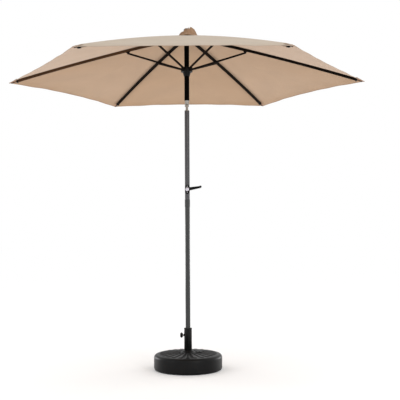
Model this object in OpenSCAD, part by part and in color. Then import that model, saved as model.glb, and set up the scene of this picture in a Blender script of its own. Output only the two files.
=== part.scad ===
// Crank-operated patio umbrella with six ribs, a tilt joint and a round water-filled base.
// Millimetres. +Z is up, -Y is the crank side, and the pole stands on the Z axis.

/* [Canopy] */
// Radius from the pole's axis to a fabric corner
canopy_r = 1280; // [1000:1500]
// Radius of the vent opening around the hub
vent_r = 62; // [56:90]
// Thickness of the canopy fabric
fabric_t = 1.2; // [0.8:0.1:2]
// How far each edge curves in between two corners
scallop = 35; // [0:60]
// Radius of the small vent cap on top
vent_cap_r = 92; // [84:130]

/* [Ribs and struts] */
// Height of the rib pins above the ground
hub_pin_z = 2388.5; // [2280:2560]
// Radius of the circle of rib pins and of strut pins
pin_circle_r = 36; // [36:42]
// Width of a rib channel
rib_w = 15; // [13:0.5:17]
// Height of a rib channel
rib_h = 17; // [15:0.5:19]
// Wall of a rib channel
rib_t = 1.2; // [0.8:0.1:1.6]
// Drop of a rib from its root to its end
rib_drop = 302; // [240:360]
// Upward bow at the middle of a rib
rib_bow = 12; // [0:25]
// Distance from the pole's axis to a strut bracket
bracket_r = 421; // [360:500]
// Width of a strut
strut_w = 9.4; // [8:0.1:9.6]
// Height of a strut
strut_h = 12; // [10:14]
// Height of the strut pins on the runner when the canopy is open
runner_pin_z = 2155.5; // [2120:2190]

/* [Pole] */
// Outer diameter of the pole
pole_d = 35; // [32:0.5:36]
// Wall of the pole tubes
pole_t = 1.4; // [1:0.1:2]
// Height at which the lower and middle tubes meet
pole_joint_z = 1193; // [1100:1230]
// Top of the middle tube, where the tilt joint starts
mid_pole_top_z = 1857; // [1760:1900]

/* [Crank] */
// Height of the crank shaft
crank_z = 1292; // [1290:1400]
// Distance from the crank shaft to the grip
crank_throw = 96; // [70:110]
// Angle of the crank arm above level
crank_angle = 9.6; // [0:30]
// Length of the turning grip
grip_len = 55; // [40:75]

/* [Tilt joint] */
// Diameter of the tilt pin
tilt_pin_d = 8; // [6:0.5:9]
// Width of the tongue between the fork's prongs
tongue_w = 18; // [14:20]
// Diameter of the release button
button_d = 10; // [7:11]

/* [Base] */
// Diameter of the water tank
tank_d = 490; // [420:600]
// Height of the tank's rim
tank_h = 112; // [95:135]
// Wall of the tank
tank_t = 3.5; // [2.5:0.5:5]
// Number of ridges on the tank's top
ridge_count = 24; // [16:36]
// Outer diameter of the base tube
tube_d = 56; // [50:64]
// Wall of the base tube
tube_t = 2; // [1.5:0.1:3]
// Height of the base tube's rim
tube_top_z = 297; // [285:360]
// Height of the clamp screw
clamp_z = 246; // [225:260]
// Diameter of the clamp knob
knob_d = 38; // [28:46]
// Diameter of the fill cap
cap_d = 49; // [44:60]

/* [Hidden] */
$fn = 64;
RIBS = 6;
STEP = 360 / RIBS;
FIT = 0.05;        // radial clearance of every pin, shaft and press fit
PLAY = 0.3;        // gap between faces that pass each other

// Pole
pole_r = pole_d / 2;
pole_in = pole_r - pole_t;
upper_pole_z = mid_pole_top_z + 73;
hub_bottom_z = hub_pin_z - 12.5;
hub_top_z = hub_pin_z + 13.5;
pulley_z = hub_bottom_z - 30;
bush_floor = 3;

// Ribs: the centre line is a shallow parabola from the root to the end of the channel
rib_root_z = hub_pin_z - 7.5;
rib_end_r = canopy_r - 68;
rib_start_r = pin_circle_r + 14;
root_eye_r = 6;
eye_pin_r = 2.5;
function rib_t_of(r) = (r - pin_circle_r) / (rib_end_r - pin_circle_r);
function rib_z(r) = rib_root_z - rib_drop * rib_t_of(r) + 4 * rib_bow * rib_t_of(r) * (1 - rib_t_of(r));

// Bracket and struts: the bracket pin lies midway in height, so both links are equally long
bracket_z = (hub_pin_z + runner_pin_z) / 2;
strut_run = bracket_r - pin_circle_r;
strut_rise = bracket_z - runner_pin_z;
rib_bore = rib_w - 2 * rib_t;
bracket_w = rib_bore - 0.4;
bracket_gap = strut_w + 0.4;

// Canopy
fabric_lift = rib_h / 2 + 2;
edge_sag = 6;
corner_droop = 7;
droop_start_r = rib_end_r - 2;
split_gap = 0.4;
PANEL_ROWS = 8;
PANEL_COLS = 3;

// Runner
runner_r = pin_circle_r + 5.5;
runner_bore = pole_r + 0.7;
runner_slot_r = pin_circle_r - 8.5;
hub_r = pin_circle_r + 6;
hub_core_r = pin_circle_r - 12;

// Tilt joint
tilt_z = mid_pole_top_z + 38;
tilt_round_r = 9.5;
tilt_body_r = 14.5;
tilt_limit_r = pole_r - PLAY;
tilt_plug = 34;
button_z = tilt_z + 20;

// Crank
shaft_r = 4;
plate_h = 64;
plate_w = 32;
plate_front = -36;
arm_back = -38;
arm_front = -46;
hub_disc_r = 13.8;
grip_x = crank_throw * cos(crank_angle);
grip_z = crank_z + crank_throw * sin(crank_angle);
grip_back = arm_front - 1;
grip_front = grip_back - grip_len;
grip_pin_r = 3;
screw_pitch_z = 21;

// Base
tank_r = tank_d / 2;
tank_foot_r = 18;
tank_shoulder_r = 24;
tank_top_rise = 14;
tube_r = tube_d / 2;
tube_in = tube_r - tube_t;
socket_floor_z = 8;
foot_z = socket_floor_z + bush_floor;
socket_wall = 5;
socket_top_z = tank_h + 26;
cap_place_r = 80;
cap_angle = -4;
neck_r = 19;
cap_x = cap_place_r * cos(cap_angle);
cap_y = cap_place_r * sin(cap_angle);
tank_slope = atan(tank_top_rise / (tank_r - tank_shoulder_r - tube_r - socket_wall));
function tank_top(r) = tank_h + (tank_r - tank_shoulder_r - r) * tan(tank_slope);
cap_seat_z = tank_top(cap_place_r) + 3;
ridge_in = 68;
ridge_out = tank_r - tank_shoulder_r - 10;
clamp_screw_r = 4;
boss_end = tube_r + 5;
knob_back = boss_end + 3;
bush_len = 40;

// ---------- shared shapes ----------

// A tube on the Z axis
module ring(r_out, r_in, z0, z1) {
    difference() {
        translate([0, 0, z0]) cylinder(r = r_out, h = z1 - z0);
        translate([0, 0, z0 - 1]) cylinder(r = r_in, h = z1 - z0 + 2);
    }
}

// A cylinder along +Y from y0 to y1 at height z
module rod_y(r, y0, y1, z, x = 0) {
    translate([x, y1, z]) rotate([90, 0, 0]) cylinder(r = r, h = y1 - y0);
}

// A cylinder along +X from x0 to x1 at height z
module rod_x(r, x0, x1, z) {
    translate([x0, 0, z]) rotate([0, 90, 0]) cylinder(r = r, h = x1 - x0);
}

// Extrudes a side view, drawn with X outwards and Y up, to a width across the XZ plane
module side_plate(w) {
    rotate([90, 0, 0]) translate([0, 0, -w / 2]) linear_extrude(w) children();
}

// A pin across a rib plane
module cross_pin(r, x, z, w) {
    translate([x, w / 2, z]) rotate([90, 0, 0]) cylinder(r = r, h = w);
}

// Places one of the six ribs' parts
module at_rib(k) {
    rotate([0, 0, STEP * (k - 1)]) children();
}

// Outline of a band that follows the rib's centre line from r0 to r1
module rib_band(r0, r1, low, high) {
    n = 12;
    polygon(concat(
        [for (i = [0:n]) let (r = r0 + (r1 - r0) * i / n) [r, rib_z(r) + high]],
        [for (i = [n:-1:0]) let (r = r0 + (r1 - r0) * i / n) [r, rib_z(r) + low]]));
}

// ---------- base ----------

module tank_outline() {
    top_in = tube_r + socket_wall;
    n = 6;
    polygon(concat(
        [[0, 0]],
        [for (i = [0:n]) let (a = -90 + 90 * i / n)
            [tank_r - tank_foot_r + tank_foot_r * cos(a), tank_foot_r + tank_foot_r * sin(a)]],
        [for (i = [0:n]) let (a = 90 * i / n)
            [tank_r - tank_shoulder_r + tank_shoulder_r * cos(a),
             tank_h - tank_shoulder_r + tank_shoulder_r * sin(a)]],
        [[top_in + 14, tank_top(top_in + 14)],
         [top_in, socket_top_z],
         [0, socket_top_z]]));
}

module tank_cavity_outline() {
    top_in = tube_r + socket_wall + tank_t;
    polygon([[top_in, tank_t + 6],
             [tank_r - tank_foot_r, tank_t],
             [tank_r - tank_t - 5, tank_t + 5],
             [tank_r - tank_t, tank_foot_r],
             [tank_r - tank_t, tank_h - tank_shoulder_r],
             [tank_r - tank_t - 7, tank_h - tank_t - 7],
             [tank_r - tank_shoulder_r, tank_h - tank_t],
             [top_in + 14, tank_top(top_in + 14) - tank_t],
             [top_in, tank_top(top_in) - tank_t]]);
}

module base_tank() {
    ridge_len = ridge_out - ridge_in;
    color([0.1, 0.1, 0.095]) difference() {
        union() {
            rotate_extrude($fn = 96) tank_outline();
            for (i = [0:ridge_count - 1]) let (a = 360 * (i + 0.5) / ridge_count)
                if (abs((a - cap_angle + 540) % 360 - 180) > 22)
                    rotate([0, 0, a]) translate([ridge_in, 0, tank_top(ridge_in)])
                        rotate([0, tank_slope, 0]) translate([0, -2.5, -2]) cube([ridge_len, 5, 5]);
            translate([cap_x, cap_y, tank_h - 6])
                cylinder(r = neck_r + 5, h = cap_seat_z - tank_h + 6);
        }
        rotate_extrude($fn = 96) tank_cavity_outline();
        translate([0, 0, socket_floor_z]) cylinder(r = tube_r + FIT, h = socket_top_z);
        translate([cap_x, cap_y, tank_h - 20]) cylinder(r = neck_r, h = 60);
    }
}

module base_tube() {
    color([0.09, 0.09, 0.09]) difference() {
        union() {
            translate([0, 0, socket_floor_z]) cylinder(r = tube_r, h = tube_top_z - socket_floor_z);
            translate([0, 0, tube_top_z - 7]) cylinder(r1 = tube_r, r2 = tube_r + 1.6, h = 3.5);
            translate([0, 0, tube_top_z - 3.5]) cylinder(r = tube_r + 1.6, h = 3.5);
            rod_x(8, -boss_end, -tube_in - 0.5, clamp_z);
        }
        translate([0, 0, -1]) cylinder(r = tube_in, h = tube_top_z + 10);
        rod_x(clamp_screw_r + FIT, -boss_end - 1, 0, clamp_z);
    }
}

// Two plastic rings that centre the pole in the wider base tube
module pole_bush() {
    color([0.13, 0.13, 0.13]) {
        difference() {
            translate([0, 0, socket_floor_z]) cylinder(r = tube_in - FIT, h = bush_len + bush_floor);
            translate([0, 0, foot_z]) cylinder(r = pole_r + FIT, h = bush_len + 1);
        }
        ring(tube_in - FIT, pole_r + FIT, tube_top_z - 32, tube_top_z - 6);
    }
}

module clamp_pad() {
    color([0.72, 0.6, 0.3]) rod_x(5, -pole_r - 2.8, -pole_r - PLAY, clamp_z);
}

module clamp_screw() {
    color([0.5, 0.5, 0.5]) union() {
        rod_x(clamp_screw_r, -knob_back - 9, -pole_r - 2.8, clamp_z);
        rod_x(6, -knob_back - 9, -knob_back - 5, clamp_z);
    }
}

// Round knob, thickest at its middle, moulded on the screw's head
module clamp_knob() {
    knob_r = knob_d / 2;
    color([0.03, 0.03, 0.03]) difference() {
        translate([-knob_back, 0, clamp_z]) rotate([0, -90, 0]) rotate_extrude()
            polygon([[0, 0], [8, 0], [12, 1], [knob_r - 2.5, 4], [knob_r, 8], [knob_r, 13],
                     [knob_r - 3, 17.5], [11, 20.5], [0, 21]]);
        rod_x(clamp_screw_r + FIT, -knob_back - 5, -knob_back + 1, clamp_z);
        rod_x(6 + FIT, -knob_back - 9, -knob_back - 5, clamp_z);
    }
}

module fill_cap() {
    color([0.05, 0.05, 0.05]) translate([cap_x, cap_y, 0]) difference() {
        union() {
            translate([0, 0, cap_seat_z + FIT]) cylinder(r = cap_d / 2, h = 4);
            translate([0, 0, cap_seat_z + 4]) cylinder(r1 = cap_d / 2, r2 = cap_d / 2 - 2, h = 2);
            translate([0, 0, cap_seat_z - 14]) cylinder(r = neck_r - PLAY, h = 15);
            translate([-3, -cap_d / 2 + 7, cap_seat_z + 5]) cube([6, cap_d - 14, 5]);
        }
        translate([0, 0, cap_seat_z - 10]) ring(neck_r + 1, neck_r - 2.4, 0, 3);
    }
}

module cap_seal() {
    color([0.15, 0.15, 0.15]) translate([cap_x, cap_y, cap_seat_z - 8.5])
        rotate_extrude() translate([neck_r - 1.35, 0]) circle(r = 1, $fn = 24);
}

// ---------- pole ----------

module lower_pole() {
    color([0.31, 0.33, 0.33]) ring(pole_r, pole_in, foot_z + 6, pole_joint_z);
}

module pole_foot() {
    color([0.08, 0.08, 0.08]) {
        translate([0, 0, foot_z]) cylinder(r = pole_r, h = 6);
        translate([0, 0, foot_z + 6]) cylinder(r = pole_in - FIT, h = 18);
    }
}

module joint_collar() {
    color([0.24, 0.25, 0.25]) ring(pole_r + 1.5, pole_r + FIT, pole_joint_z - 26, pole_joint_z + 26);
}

module pole_spigot() {
    color([0.6, 0.6, 0.6]) ring(pole_in - FIT, pole_in - 1.6, pole_joint_z - 80, pole_joint_z + 68);
}

module mid_pole() {
    color([0.38, 0.38, 0.38]) difference() {
        ring(pole_r, pole_in, pole_joint_z, mid_pole_top_z);
        rod_y(9, -pole_r - 1, 0, crank_z);
        rod_y(6.2, 0, pole_r + 1, crank_z);
        for (s = [-1, 1]) rod_y(1.8, -pole_r - 1, 0, crank_z + s * screw_pitch_z);
    }
}

// ---------- crank ----------

module oval(w, h) {
    translate([0, (h - w) / 2]) circle(d = w);
    translate([0, -(h - w) / 2]) circle(d = w);
    square([w, h - w], center = true);
}

module crank_housing() {
    color([0.07, 0.07, 0.07]) difference() {
        union() {
            translate([0, 0, crank_z]) rotate([90, 0, 0]) linear_extrude(-plate_front)
                oval(plate_w, plate_h);
            rod_y(17.2, plate_front - 1.5, plate_front, crank_z);
        }
        translate([0, 0, crank_z - plate_h]) cylinder(r = pole_r + FIT, h = 2 * plate_h);
        translate([-plate_w, -8, crank_z - plate_h]) cube([2 * plate_w, 40, 2 * plate_h]);
        rod_y(shaft_r + FIT, plate_front - 2, 0, crank_z);
        rod_y(8.2, -32, 0, crank_z);
        for (s = [-1, 1]) rod_y(1.75, plate_front - 2, 0, crank_z + s * screw_pitch_z);
    }
}

module shaft_bush() {
    color([0.1, 0.1, 0.1]) difference() {
        union() {
            rod_y(6.1, pole_in - 1.5, pole_r + 5, crank_z);
            rod_y(10, pole_r + FIT, pole_r + 5, crank_z);
        }
        rod_y(shaft_r + FIT, 0, pole_r + 9, crank_z);
    }
}

module crank_shaft() {
    color([0.7, 0.7, 0.68]) rod_y(shaft_r, arm_front, pole_r + 4, crank_z);
}

module cord_spool() {
    flange_t = 2;
    spool_r = pole_in - 5.1;
    color([0.2, 0.2, 0.2]) difference() {
        union() {
            rod_y(7, flange_t / 2 - spool_r, spool_r - flange_t / 2, crank_z);
            for (y = [-spool_r, spool_r - flange_t]) rod_y(spool_r, y, y + flange_t, crank_z);
        }
        rod_y(shaft_r + FIT, -spool_r - 9, spool_r + 9, crank_z);
    }
}

// Closely wound wrap spring that grips the crank shaft and holds the canopy's weight
module brake_spring() {
    wire_r = 0.9;
    color([0.75, 0.75, 0.72]) for (i = [0:3])
        translate([0, -29 + i * 1.7, crank_z]) rotate([90, 0, 0])
            rotate_extrude() translate([5.6, 0]) circle(r = wire_r, $fn = 16);
}

module crank_arm() {
    end_r = 7.5;
    color([0.06, 0.06, 0.06]) difference() {
        translate([0, 0, crank_z]) rotate([0, -crank_angle, 0]) translate([0, arm_back, 0])
            rotate([90, 0, 0]) linear_extrude(arm_back - arm_front) {
                circle(r = hub_disc_r);
                translate([crank_throw, 0]) circle(r = end_r);
                polygon([[0, -hub_disc_r + 1.5], [crank_throw, -end_r + 0.1],
                         [crank_throw, end_r - 0.1], [0, hub_disc_r - 1.5]]);
            }
        rod_y(shaft_r + FIT, arm_front - 1, arm_back + 1, crank_z);
        rod_y(grip_pin_r + FIT, arm_front - 1, arm_back + 1, grip_z, grip_x);
    }
}

module crank_cap() {
    color([0.75, 0.74, 0.72]) translate([0, arm_front, crank_z]) rotate([90, 0, 0])
        rotate_extrude() polygon([[0, 0], [13.2, 0], [13.2, 1.6], [11.5, 3.2], [6, 4.2], [0, 4.6]]);
}

module crank_grip() {
    color([0.05, 0.05, 0.05]) translate([grip_x, grip_back, grip_z]) rotate([90, 0, 0])
        rotate_extrude() polygon([[grip_pin_r + FIT, 0], [7, 0], [7.6, 2], [8.4, grip_len * 0.45],
                                  [8, grip_len * 0.8], [6.8, grip_len - 2], [5.6, grip_len],
                                  [grip_pin_r + FIT, grip_len]]);
}

module grip_pin() {
    color([0.7, 0.7, 0.7]) union() {
        rod_y(grip_pin_r, grip_front - 1, arm_back, grip_z, grip_x);
        rod_y(5.2, grip_front - 3.2, grip_front - PLAY, grip_z, grip_x);
    }
}

module housing_screws() {
    color([0.6, 0.6, 0.6]) for (s = [-1, 1]) {
        rod_y(1.7, plate_front, -pole_in + 2, crank_z + s * screw_pitch_z);
        rod_y(3.1, plate_front - 1.4, plate_front, crank_z + s * screw_pitch_z);
    }
}

// ---------- tilt joint ----------

module tilt_socket() {
    color([0.7, 0.69, 0.66]) difference() {
        union() {
            translate([0, 0, mid_pole_top_z - tilt_plug]) cylinder(r = pole_in - FIT, h = tilt_plug);
            translate([0, 0, mid_pole_top_z]) cylinder(r = tilt_limit_r, h = 2);
            translate([0, 0, mid_pole_top_z + 2]) cylinder(r1 = tilt_limit_r, r2 = tilt_round_r + 1, h = 4);
            translate([-tongue_w / 2, -tilt_round_r, mid_pole_top_z])
                cube([tongue_w, 2 * tilt_round_r, tilt_z - mid_pole_top_z]);
            rod_x(tilt_round_r, -tongue_w / 2, tongue_w / 2, tilt_z);
        }
        rod_x(tilt_pin_d / 2 + FIT, -pole_r, pole_r, tilt_z);
    }
}

module tilt_fork() {
    crotch_z = tilt_z + tilt_round_r + 1;
    slot_w = tongue_w + 2 * PLAY;
    color([0.68, 0.66, 0.62]) difference() {
        intersection() {
            union() {
                translate([0, 0, crotch_z]) cylinder(r = tilt_body_r, h = upper_pole_z - crotch_z);
                translate([0, 0, upper_pole_z]) cylinder(r = pole_in - FIT, h = tilt_plug);
                translate([-tilt_body_r, -tilt_round_r, tilt_z])
                    cube([2 * tilt_body_r, 2 * tilt_round_r, crotch_z - tilt_z + 8]);
                rod_x(tilt_round_r, -tilt_body_r, tilt_body_r, tilt_z);
            }
            translate([0, 0, tilt_z - 30]) cylinder(r = tilt_limit_r, h = 200);
        }
        translate([-slot_w / 2, -pole_r, tilt_z - 20]) cube([slot_w, pole_d, crotch_z - tilt_z + 20]);
        rod_x(tilt_pin_d / 2 + FIT, -pole_r, pole_r, tilt_z);
        rod_y(button_d / 2 + FIT, -pole_r, 6, button_z);
    }
}

module tilt_pin() {
    color([0.6, 0.6, 0.6]) rod_x(tilt_pin_d / 2, -tilt_body_r + 0.2, tilt_body_r - 0.2, tilt_z);
}

module tilt_button() {
    color([0.8, 0.8, 0.78]) rod_y(button_d / 2, -tilt_limit_r, -4, button_z);
}

// Return spring behind the release button
module button_spring() {
    coils = 4;
    color([0.75, 0.75, 0.72]) for (i = [0:coils - 1])
        translate([0, -3.2 + i * 2.6, button_z]) rotate([90, 0, 0])
            rotate_extrude() translate([2.8, 0]) circle(r = 0.5, $fn = 16);
}

// ---------- top ----------

module upper_pole() {
    color([0.13, 0.12, 0.11]) difference() {
        ring(pole_r, pole_in, upper_pole_z, hub_top_z - 6);
        translate([-4, -pole_r - 1, pulley_z - 12]) cube([8, 12, 24]);
        rod_x(eye_pin_r + FIT, -pole_r - 1, pole_r + 1, pulley_z);
    }
}

// Slots at the six rib or strut places
module pin_slots(slot_r, w, z0, z1) {
    for (k = [1:RIBS]) at_rib(k) translate([slot_r, -w / 2, z0]) cube([60, w, z1 - z0]);
}

module top_hub() {
    slot_w = rib_w + 0.8;
    color([0.07, 0.07, 0.07]) difference() {
        union() {
            translate([0, 0, hub_bottom_z]) cylinder(r = hub_r, h = hub_top_z - hub_bottom_z);
            translate([0, 0, hub_bottom_z - 16]) cylinder(r = pole_r + 2.6, h = 17);
        }
        translate([0, 0, hub_bottom_z - 20]) cylinder(r = pole_r + FIT, h = hub_top_z - hub_bottom_z + 14);
        translate([0, 0, hub_top_z - 10]) cylinder(r = 5 + FIT, h = 20);
        pin_slots(hub_core_r, slot_w, hub_bottom_z - 1, hub_top_z + 1);
        for (k = [1:RIBS]) at_rib(k) cross_pin(eye_pin_r + FIT, pin_circle_r, hub_pin_z, 2 * 14);
    }
}

// Six rib pins in the hub, and the pulley's pin across the top of the pole
module hub_pins() {
    color([0.55, 0.55, 0.55]) {
        for (k = [1:RIBS]) at_rib(k) cross_pin(eye_pin_r, pin_circle_r, hub_pin_z, 2 * 13.5);
        rod_x(eye_pin_r, -pole_r + 0.4, pole_r - 0.4, pulley_z);
    }
}

module pulley() {
    color([0.8, 0.8, 0.78]) translate([-3, 0, pulley_z]) rotate([0, 90, 0]) rotate_extrude()
        polygon([[eye_pin_r + FIT, 0], [11, 0], [8.8, 2], [8.8, 4], [11, 6], [eye_pin_r + FIT, 6]]);
}

module finial() {
    color([0.07, 0.07, 0.09]) union() {
        translate([0, 0, hub_top_z - 6]) cylinder(r = 5, h = 8);
        translate([0, 0, hub_top_z]) rotate_extrude()
            polygon([[0, 0], [12, 0], [12, 8], [10, 14], [16, 22], [21, 30], [22, 36], [20, 42],
                     [14, 47], [7, 49], [0, 49.4]]);
    }
}

// Small cloth cap that bulges over the vent and is held under the finial
module vent_cap() {
    t = 2.4;
    outer = [[14.5, t + 0.2], [24, 20], [36, 31], [52, 34], [68, 26], [82, 8], [vent_cap_r, -14]];
    color([0.72, 0.6, 0.48]) translate([0, 0, hub_top_z]) rotate_extrude($fn = 48)
        polygon(concat(outer, [for (i = [len(outer) - 1:-1:0]) outer[i] - [0, t]]));
}

// ---------- runner ----------

module runner() {
    slot_w = strut_w + 2 * PLAY;
    color([0.06, 0.06, 0.06]) translate([0, 0, runner_pin_z]) difference() {
        union() {
            translate([0, 0, -19.5]) cylinder(r = runner_r, h = 33);
            translate([0, 0, -50.5]) cylinder(r1 = runner_bore + 3, r2 = runner_r - 12, h = 31.5);
        }
        translate([0, 0, -60]) cylinder(r = runner_bore, h = 120);
        pin_slots(runner_slot_r, slot_w, -9, 20);
        for (k = [1:RIBS]) at_rib(k) cross_pin(eye_pin_r + FIT, pin_circle_r, 0, 2 * 12);
    }
}

module runner_pins() {
    color([0.55, 0.55, 0.55]) for (k = [1:RIBS]) at_rib(k)
        cross_pin(eye_pin_r, pin_circle_r, runner_pin_z, 2 * 11.5);
}

// ---------- ribs, struts and canopy ----------

module rib(k) {
    root_w = rib_bore - 0.2;
    color([0.07, 0.06, 0.05]) at_rib(k) difference() {
        union() {
            side_plate(rib_w) rib_band(rib_start_r, rib_end_r, -rib_h / 2, rib_h / 2);
            side_plate(root_w) polygon([
                [pin_circle_r - root_eye_r, hub_pin_z - 5],
                [pin_circle_r - root_eye_r + 3, hub_pin_z - 9],
                [pin_circle_r + 6, hub_pin_z - 12],
                [rib_start_r + 12, rib_z(rib_start_r + 12) - 3],
                [rib_start_r + 12, rib_z(rib_start_r + 12) + rib_h / 2 - 0.5],
                [pin_circle_r + 5, hub_pin_z + root_eye_r - 2],
                [pin_circle_r, hub_pin_z + root_eye_r],
                [pin_circle_r - root_eye_r, hub_pin_z + 1]]);
        }
        side_plate(rib_bore)
            rib_band(rib_start_r + 12.5, rib_end_r + 5, -rib_h, rib_h / 2 - rib_t);
        cross_pin(eye_pin_r + FIT, pin_circle_r, hub_pin_z, rib_w + 2);
    }
}

// A plastic tip, the strut bracket and the bracket's pin: three solids on one rib
module rib_fittings(k) {
    tip_len = 52;
    tip_r = 4;
    foot_l = 10;
    foot_w = 22;
    foot_h = 18;
    foot_drop = 4;
    tip_z = rib_z(rib_end_r);
    tip_slope = atan((rib_z(rib_end_r - 60) - rib_z(rib_end_r)) / 60) + 2;
    color([0.05, 0.05, 0.05]) at_rib(k) {
        translate([rib_end_r, 0, tip_z]) rotate([0, tip_slope, 0]) {
            translate([-22, -rib_bore / 2 + 0.3, -6]) cube([21.5, rib_bore - 0.6, 11]);
            rotate([0, 90, 0]) translate([0, 0, -0.5]) cylinder(r = tip_r, h = tip_len);
        }
        translate([rib_end_r + PLAY, -foot_w / 2, tip_z + rib_h / 2 - foot_drop - foot_h])
            cube([foot_l, foot_w, foot_h]);
        difference() {
            union() {
                side_plate(bracket_w) rib_band(bracket_r - 15, bracket_r + 15, -12, 5);
                side_plate(bracket_w) polygon([
                    [bracket_r - 12, rib_z(bracket_r) - 8], [bracket_r - 6.5, bracket_z - 3],
                    [bracket_r - 3.5, bracket_z - 6], [bracket_r + 3.5, bracket_z - 6],
                    [bracket_r + 6.5, bracket_z - 3], [bracket_r + 12, rib_z(bracket_r) - 8]]);
            }
            translate([bracket_r - 30, -bracket_gap / 2, bracket_z - 20])
                cube([60, bracket_gap, 20 + rib_z(bracket_r) - bracket_z + 1]);
            cross_pin(eye_pin_r + FIT, bracket_r, bracket_z, rib_w);
        }
        cross_pin(eye_pin_r, bracket_r, bracket_z, bracket_w + 2);
    }
}

module strut(k) {
    strut_len = sqrt(strut_run * strut_run + strut_rise * strut_rise);
    strut_angle = atan(strut_rise / strut_run);
    strut_t = 1;
    eye_r = strut_h / 2 + 0.5;
    color([0.06, 0.06, 0.06]) at_rib(k)
        translate([pin_circle_r, 0, runner_pin_z]) rotate([0, -strut_angle, 0]) difference() {
            union() {
                translate([0, -strut_w / 2, -strut_h / 2]) cube([strut_len, strut_w, strut_h]);
                for (x = [0, strut_len]) cross_pin(eye_r, x, 0, strut_w);
            }
            translate([14, -strut_w / 2 + strut_t, -strut_h])
                cube([strut_len - 28, strut_w - 2 * strut_t, 1.5 * strut_h - strut_t]);
            for (x = [0, strut_len]) cross_pin(eye_pin_r + FIT, x, 0, strut_w + 2);
        }
}

// Height of the fabric's underside where the rib's distance is r, at share s of the way to the
// split line: it droops at a corner, and sags between two corners
function fabric_z(r, s) = rib_z(r) + fabric_lift
    - corner_droop * max(0, r - droop_start_r) / (canopy_r - droop_start_r)
    - edge_sag * (1 - (1 - s) * (1 - s)) * pow((r - vent_r) / (canopy_r - vent_r), 2);

// One wedge of the fabric, centred on a rib: rows run across it from split line to split line
function panel_point(i, j) =
    let (s = abs(j) / PANEL_COLS,
         r_end = canopy_r - scallop / cos(STEP / 2) * (1 - (1 - s) * (1 - s)),
         r = i < PANEL_ROWS ? vent_r + (droop_start_r - vent_r) * i / (PANEL_ROWS - 1) : r_end,
         x = r * (1 - s * pow(sin(STEP / 2), 2)),
         y = max(0, r * s * sin(STEP / 2) * cos(STEP / 2) - s * split_gap / 2))
    [x, sign(j) * y, fabric_z(r, s)];

module canopy_panel(k) {
    cols = 2 * PANEL_COLS + 1;
    grid = [for (i = [0:PANEL_ROWS]) for (j = [-PANEL_COLS:PANEL_COLS]) panel_point(i, j)];
    count = len(grid);
    below = [for (i = [0:PANEL_ROWS - 1]) for (j = [0:cols - 2]) let (a = i * cols + j)
        each [[a, a + 1, a + cols + 1], [a, a + cols + 1, a + cols]]];
    above = [for (f = below) [f[2] + count, f[1] + count, f[0] + count]];
    rim = concat(
        [for (j = [0:cols - 2]) [j + 1, j]],
        [for (i = [0:PANEL_ROWS - 1]) [i * cols, (i + 1) * cols]],
        [for (j = [0:cols - 2]) [PANEL_ROWS * cols + j, PANEL_ROWS * cols + j + 1]],
        [for (i = [0:PANEL_ROWS - 1]) [(i + 2) * cols - 1, (i + 1) * cols - 1]]);
    sides = [for (e = rim) each [[e[0], e[1], e[1] + count], [e[0], e[1] + count, e[0] + count]]];
    color([0.77, 0.66, 0.54]) at_rib(k) polyhedron(
        points = concat(grid, [for (p = grid) p + [0, 0, fabric_t]]),
        faces = concat(below, above, sides));
}

base_tank();
base_tube();
pole_bush();
clamp_pad();
clamp_screw();
clamp_knob();
fill_cap();
cap_seal();
lower_pole();
pole_foot();
joint_collar();
pole_spigot();
mid_pole();
crank_housing();
shaft_bush();
crank_shaft();
cord_spool();
brake_spring();
crank_arm();
crank_cap();
crank_grip();
grip_pin();
housing_screws();
tilt_socket();
tilt_fork();
tilt_pin();
tilt_button();
button_spring();
upper_pole();
top_hub();
hub_pins();
pulley();
finial();
runner();
runner_pins();
vent_cap();
for (k = [1:RIBS]) {
    rib(k);
    rib_fittings(k);
    strut(k);
    canopy_panel(k);
}
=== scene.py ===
"""Looks of a crank-operated patio umbrella with a round water-filled base.

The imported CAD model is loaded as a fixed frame. Cloth, moulded and cast parts are modelled here
around it, every other part keeps its CAD shape, and each finish is a procedural material.
"""

from __future__ import annotations

import logging
import math
from collections.abc import Callable, Iterable, Sequence
from dataclasses import dataclass, field
from enum import Enum

import bmesh
import bpy
import numpy as np
from mathutils import Matrix, Vector, noise

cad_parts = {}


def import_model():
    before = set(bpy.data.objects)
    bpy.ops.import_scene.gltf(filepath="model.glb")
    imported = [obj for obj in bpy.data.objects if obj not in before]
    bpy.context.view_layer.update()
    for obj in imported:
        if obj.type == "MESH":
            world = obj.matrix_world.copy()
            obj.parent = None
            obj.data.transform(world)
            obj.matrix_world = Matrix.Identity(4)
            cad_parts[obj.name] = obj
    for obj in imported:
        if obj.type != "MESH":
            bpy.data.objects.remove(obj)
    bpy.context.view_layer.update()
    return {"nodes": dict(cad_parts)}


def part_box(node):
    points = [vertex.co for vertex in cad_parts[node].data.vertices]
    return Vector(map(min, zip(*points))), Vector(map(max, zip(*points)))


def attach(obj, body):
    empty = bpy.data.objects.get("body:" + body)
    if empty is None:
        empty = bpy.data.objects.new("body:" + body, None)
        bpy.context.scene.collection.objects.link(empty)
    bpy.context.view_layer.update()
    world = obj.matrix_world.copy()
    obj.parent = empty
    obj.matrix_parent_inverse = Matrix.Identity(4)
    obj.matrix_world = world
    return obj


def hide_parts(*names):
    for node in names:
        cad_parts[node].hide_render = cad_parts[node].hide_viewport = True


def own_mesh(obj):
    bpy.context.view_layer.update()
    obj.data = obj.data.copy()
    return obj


log = logging.getLogger("patio_umbrella")

RIBS = 6
STEP = math.tau / RIBS
HALF = STEP / 2
SMOOTH_ANGLE = math.radians(35)
Colour = tuple[float, float, float]


class Axis(Enum):
    """Direction that a turned part's own axis takes in the frame."""

    UP = Matrix.Identity(4)
    TO_VIEWER = Matrix.Rotation(math.radians(90), 4, "X")
    TO_LEFT = Matrix.Rotation(math.radians(-90), 4, "Y")


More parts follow.
